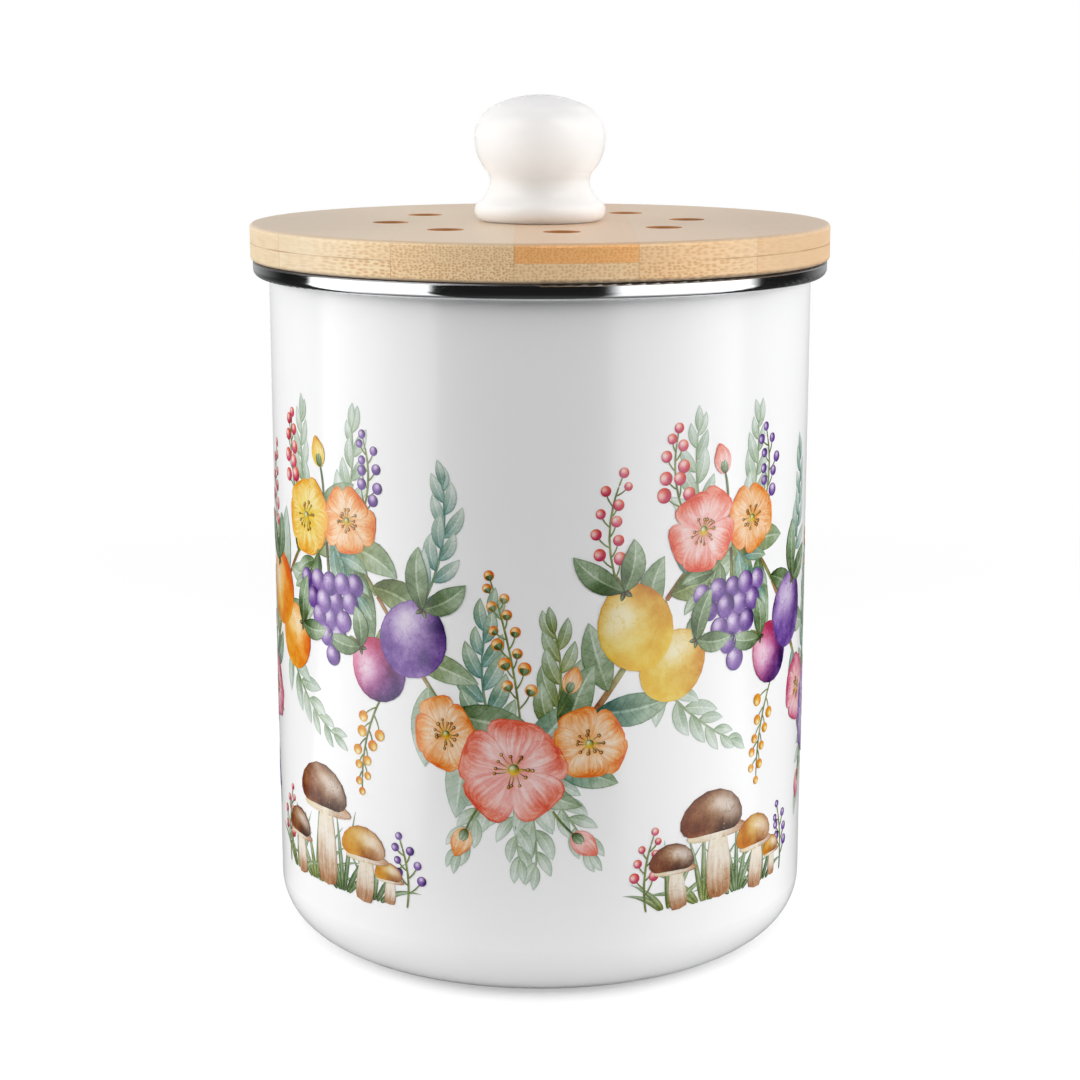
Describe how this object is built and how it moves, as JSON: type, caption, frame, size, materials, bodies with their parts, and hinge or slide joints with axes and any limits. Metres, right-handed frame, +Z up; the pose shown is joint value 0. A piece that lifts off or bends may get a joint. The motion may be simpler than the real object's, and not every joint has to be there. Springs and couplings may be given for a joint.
{
  "type": "kitchen compost caddy",
  "caption": "Cylindrical enamel can with a rolled steel rim and a vented, lift-off bamboo lid with a turned knob, a seal and a carbon filter.",
  "frame": {"origin": "centre of the ring that the can stands on, on the table", "axes": "+Z up along the can's axis; the picture looks along +Y, with +X to the right"},
  "size_m": [0.143, 0.143, 0.2098],
  "materials": {
    "enamel": "gloss white vitreous enamel on deep-drawn steel, with a printed band of leaves and flowers",
    "rim_steel": "mirror-polished stainless steel",
    "bamboo": "laminated bamboo, sanded and oiled, satin",
    "plug_bamboo": "turned bamboo, sanded",
    "silicone": "translucent white silicone",
    "knob_glaze": "gloss white glaze",
    "insert_brass": "turned brass",
    "screw_steel": "zinc-plated steel",
    "cover_plastic": "white moulded polypropylene, fine matte texture",
    "carbon_felt": "charcoal-filled needle felt"
  },
  "bodies": {
    "can": {"enamel_body": "enamel", "rim_band": "rim_steel"},
    "lid": {"lid_upper_ply": "bamboo", "lid_lower_ply": "bamboo", "lid_plug": "plug_bamboo", "lid_seal": "silicone", "knob": "knob_glaze", "knob_insert": "insert_brass", "knob_screw": "screw_steel", "knob_washer": "screw_steel"},
    "filter": {"filter_cover": "cover_plastic", "filter_pad": "carbon_felt"}
  },
  "joints": [
    {"name": "lid_lift", "type": "slide", "parent": "can", "child": "lid", "axis": [0, 0, 1], "range_m": [0, 0.08]},
    {"name": "filter_release", "type": "slide", "parent": "lid", "child": "filter", "axis": [0, 0, -1], "range_m": [0, 0.03]}
  ]
}
